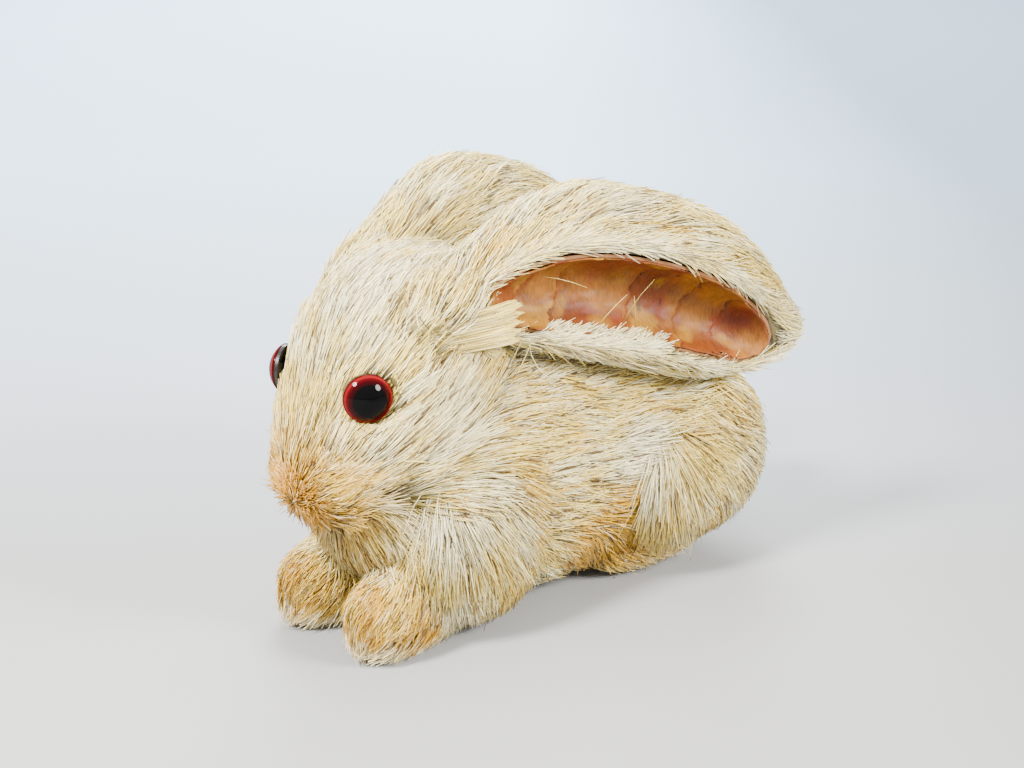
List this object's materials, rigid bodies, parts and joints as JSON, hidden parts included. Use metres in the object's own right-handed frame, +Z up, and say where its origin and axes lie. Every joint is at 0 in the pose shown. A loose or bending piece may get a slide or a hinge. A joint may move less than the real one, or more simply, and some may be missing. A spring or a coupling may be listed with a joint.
{
  "type": "bristle rabbit figure",
  "caption": "Crouching rabbit figure coated in natural straw bristle, with bark-lined ears that swing outward on hinges, domed eyes and a flat felt pad to stand on.",
  "frame": {"origin": "on the floor, under the middle of the box around the figure", "axes": "+Z up, nose towards -Y and tail towards +Y, the rabbit's left side towards +X"},
  "size_m": [0.1068, 0.204, 0.1428],
  "materials": {
    "pressed_fibre": "matte",
    "dowel_wood": "matte",
    "bamboo": "satin",
    "felt": "matte",
    "cream_bristle": "matte",
    "white_bristle": "matte",
    "tan_bristle": "matte",
    "ear_bristle": "matte",
    "card": "matte",
    "bark": "satin",
    "wire": "satin",
    "clear_red": "gloss",
    "eye_red": "gloss",
    "eye_black": "gloss",
    "shank_black": "gloss"
  },
  "bodies": {
    "body": {"body_core": "pressed_fibre", "head_core": "pressed_fibre", "neck_dowel": "dowel_wood", "felt_pad": "felt", "left_shoulder_core": "pressed_fibre", "right_shoulder_core": "pressed_fibre", "left_shoulder_peg": "bamboo", "right_shoulder_peg": "bamboo", "left_haunch_core": "pressed_fibre", "right_haunch_core": "pressed_fibre", "left_haunch_peg": "bamboo", "right_haunch_peg": "bamboo", "left_forepaw_core": "pressed_fibre", "right_forepaw_core": "pressed_fibre", "left_forepaw_peg": "bamboo", "right_forepaw_peg": "bamboo", "left_hind_foot_core": "pressed_fibre", "right_hind_foot_core": "pressed_fibre", "left_hind_foot_peg": "bamboo", "right_hind_foot_peg": "bamboo", "tail_core": "pressed_fibre", "tail_peg": "bamboo", "head_coat": "cream_bristle", "left_whisker_pad": "tan_bristle", "right_whisker_pad": "tan_bristle", "body_coat": "cream_bristle", "left_shoulder_coat": "cream_bristle", "right_shoulder_coat": "cream_bristle", "left_haunch_coat": "cream_bristle", "right_haunch_coat": "cream_bristle", "left_forepaw_coat": "tan_bristle", "right_forepaw_coat": "tan_bristle", "left_hind_foot_coat": "tan_bristle", "right_hind_foot_coat": "tan_bristle", "tail_coat": "white_bristle", "left_ear_anchor": "wire", "right_ear_anchor": "wire", "left_eye_dome": "clear_red", "right_eye_dome": "clear_red", "left_eye_iris": "eye_red", "right_eye_iris": "eye_red", "left_eye_pupil": "eye_black", "right_eye_pupil": "eye_black", "left_eye_shank": "shank_black", "right_eye_shank": "shank_black"},
    "left_ear": {"left_ear_coat": "ear_bristle", "left_ear_card": "card", "left_ear_lining": "bark", "left_ear_wire": "wire"},
    "right_ear": {"right_ear_coat": "ear_bristle", "right_ear_card": "card", "right_ear_lining": "bark", "right_ear_wire": "wire"}
  },
  "joints": [
    {"name": "left_ear_hinge", "type": "hinge", "parent": "body", "child": "left_ear", "pos_m": [0.02149, -0.05532, 0.10934], "axis": [-0.0397, -0.2041, -0.9781], "range_deg": [0, 20]},
    {"name": "right_ear_hinge", "type": "hinge", "parent": "body", "child": "right_ear", "pos_m": [-0.02149, -0.05532, 0.10934], "axis": [-0.0397, 0.2041, 0.9781], "range_deg": [0, 20]}
  ]
}
